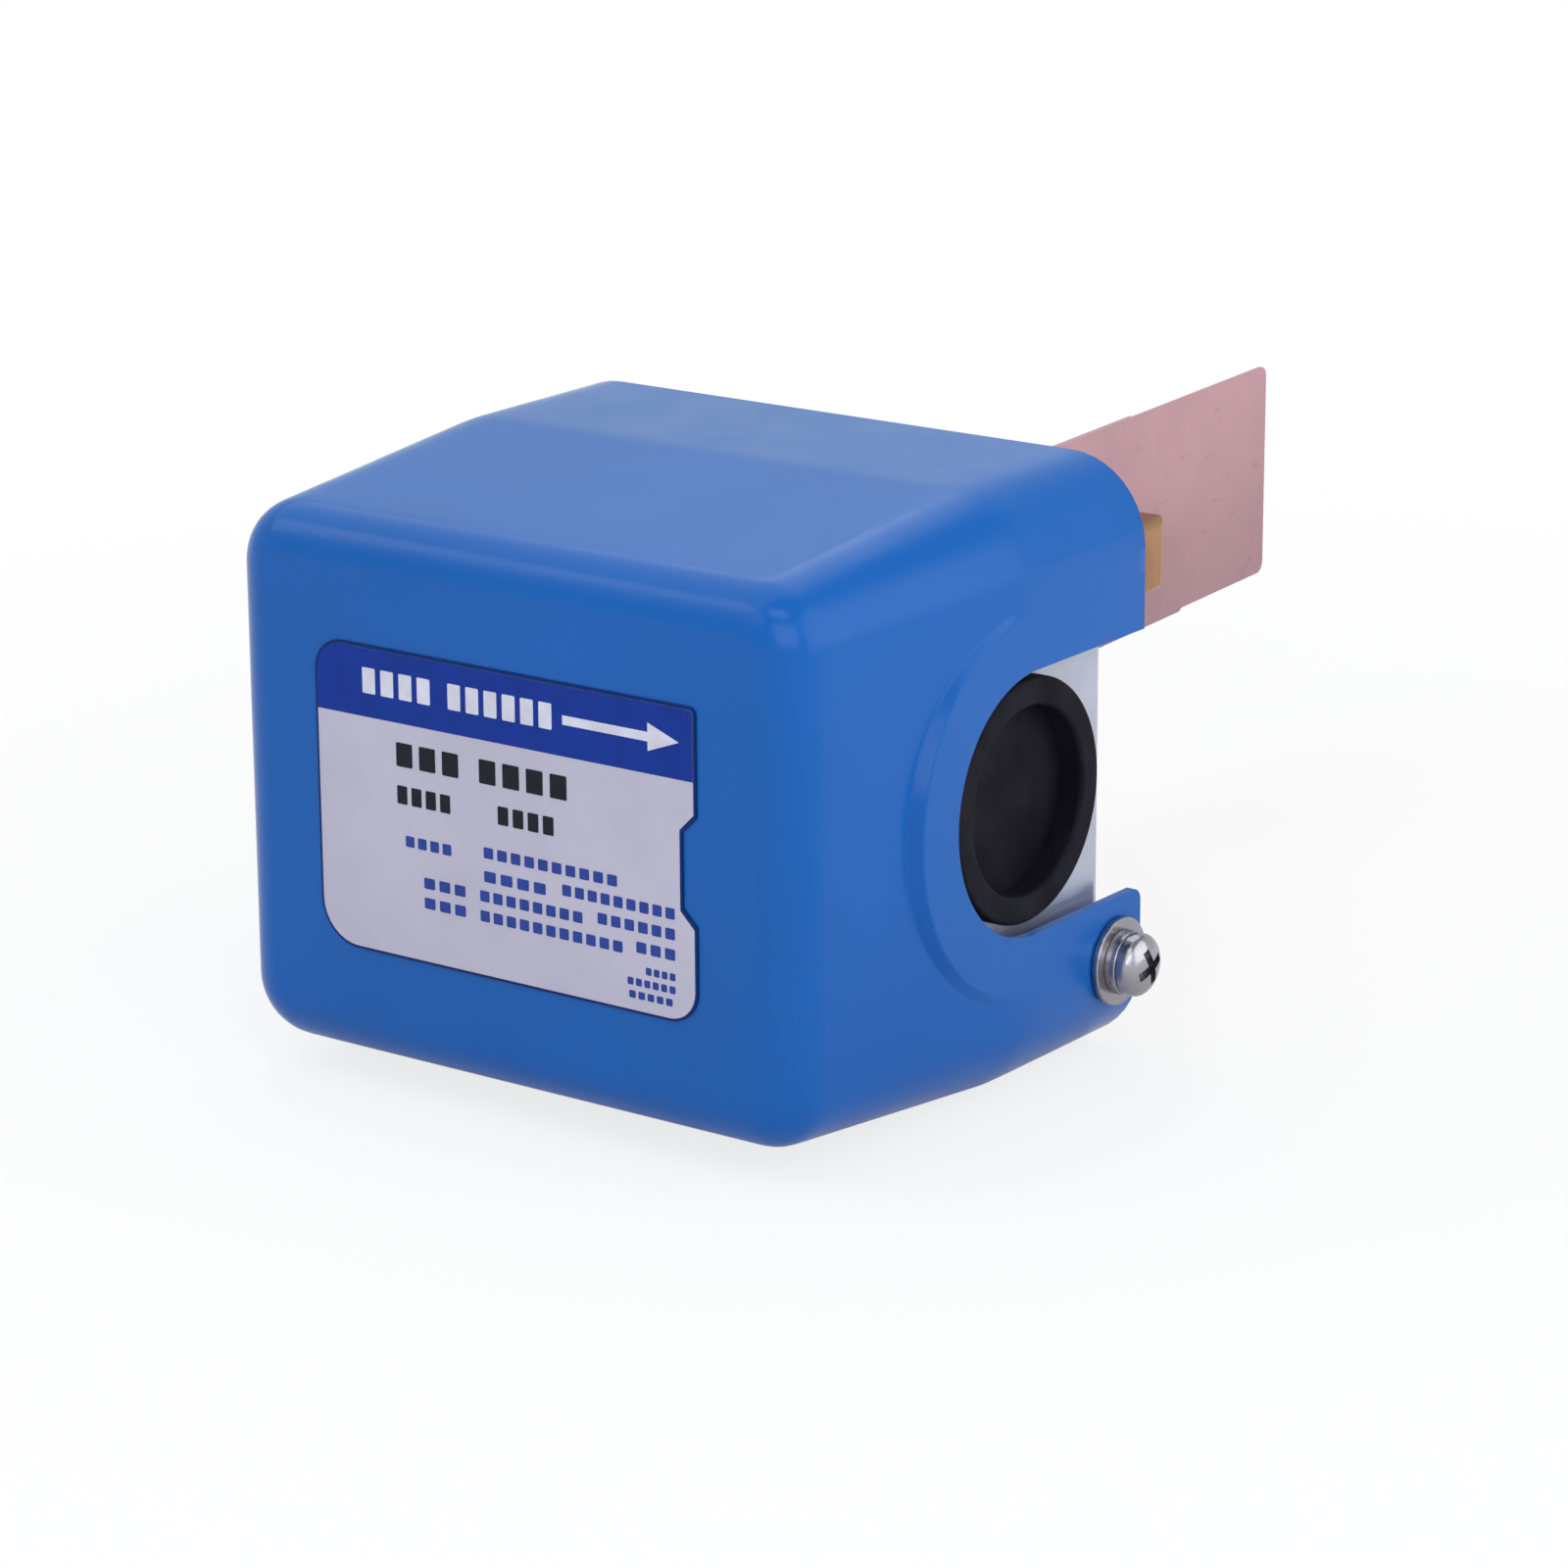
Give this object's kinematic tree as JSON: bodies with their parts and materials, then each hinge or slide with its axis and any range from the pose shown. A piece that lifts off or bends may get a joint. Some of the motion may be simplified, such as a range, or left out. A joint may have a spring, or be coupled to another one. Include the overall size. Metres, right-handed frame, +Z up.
{
  "type": "paddle flow switch",
  "caption": "Paddle flow switch: drawn steel cover over a snap switch, brass pipe thread, and a hinged arm with thin metal paddles that swings with the flow.",
  "frame": {"origin": "centre of the hexagon's shoulder, where the pipe thread begins, on the stem's axis", "axes": "+Y along the stem towards the paddles, +X the flow direction of the label's arrow, +Z up"},
  "size_m": [0.09, 0.1817, 0.066],
  "materials": {
    "painted_steel": "gloss enamel",
    "foil": "satin printed foil",
    "zinc_plate": "zinc plated",
    "black_rubber": "smooth",
    "stainless_screw": "bright",
    "brass": "machined",
    "phosphor_bronze": "rolled strip",
    "brass_screw": "bright",
    "green_screw": "green passivated",
    "switch_case": "moulded phenolic",
    "switch_lid": "moulded phenolic",
    "plunger_plastic": "moulded",
    "spring_steel": "bright drawn",
    "zinc_turned": "turned and plated"
  },
  "bodies": {
    "chassis": {"mounting_bracket": "zinc_plate", "cable_grommet": "black_rubber", "cover_screws": "stainless_screw", "cover_spring_washers": "stainless_screw", "cover_flat_washers": "stainless_screw", "brass_body": "brass", "body_gasket": "black_rubber", "body_screws": "stainless_screw", "pivot_yoke": "zinc_plate", "pivot_pin": "stainless_screw", "pivot_clip": "stainless_screw", "bellows": "brass", "bellows_ring": "brass", "switch_case": "switch_case", "switch_lid": "switch_lid", "switch_screws": "stainless_screw", "switch_bracket": "zinc_plate", "bracket_screws": "stainless_screw", "switch_terminals": "brass", "terminal_screws": "brass_screw", "terminal_washers": "brass", "adjusting_bush": "brass", "range_spring": "spring_steel", "earth_screw": "green_screw", "earth_washer": "stainless_screw"},
    "cover": {"cover": "painted_steel", "label_plate": "foil"},
    "paddle_arm": {"paddle_arm": "brass", "switch_lever": "spring_steel", "lever_screws": "stainless_screw", "spring_button": "brass", "paddle_long": "phosphor_bronze", "paddle_medium": "phosphor_bronze", "paddle_short": "phosphor_bronze", "paddle_screws": "stainless_screw", "paddle_spring_washers": "stainless_screw"},
    "switch_plunger": {"switch_plunger": "plunger_plastic"},
    "spring_seat": {"spring_seat": "zinc_turned"},
    "adjusting_screw": {"adjusting_screw": "zinc_turned"}
  },
  "joints": [
    {"name": "paddle_swing", "type": "hinge", "parent": "chassis", "child": "paddle_arm", "pos_m": [0, -0.02, 0], "axis": [0, 0, -1], "range_deg": [0, 8.4], "stiffness_Nm_per_rad": 0.3, "springref_deg": -17.19, "deforming": ["range_spring", "bellows"]},
    {"name": "plunger_travel", "type": "slide", "parent": "chassis", "child": "switch_plunger", "axis": [-1, 0, 0], "range_m": [0, 0.0021]},
    {"name": "cover_off", "type": "slide", "parent": "chassis", "child": "cover", "axis": [0, -1, 0], "range_m": [0, 0.075]},
    {"name": "seat_travel", "type": "slide", "parent": "chassis", "child": "spring_seat", "axis": [1, 0, 0], "range_m": [0, 0.0032], "deforming": ["range_spring"]},
    {"name": "adjusting_turn", "type": "hinge", "parent": "spring_seat", "child": "adjusting_screw", "pos_m": [-0.0226, -0.047, 0], "axis": [1, 0, 0], "range_deg": [0, 1441]}
  ],
  "couplings": [
    {"joint": "plunger_travel", "follows": "paddle_swing", "m_per_rad": 0.014},
    {"joint": "adjusting_turn", "follows": "seat_travel", "rad_per_m": 7854}
  ]
}
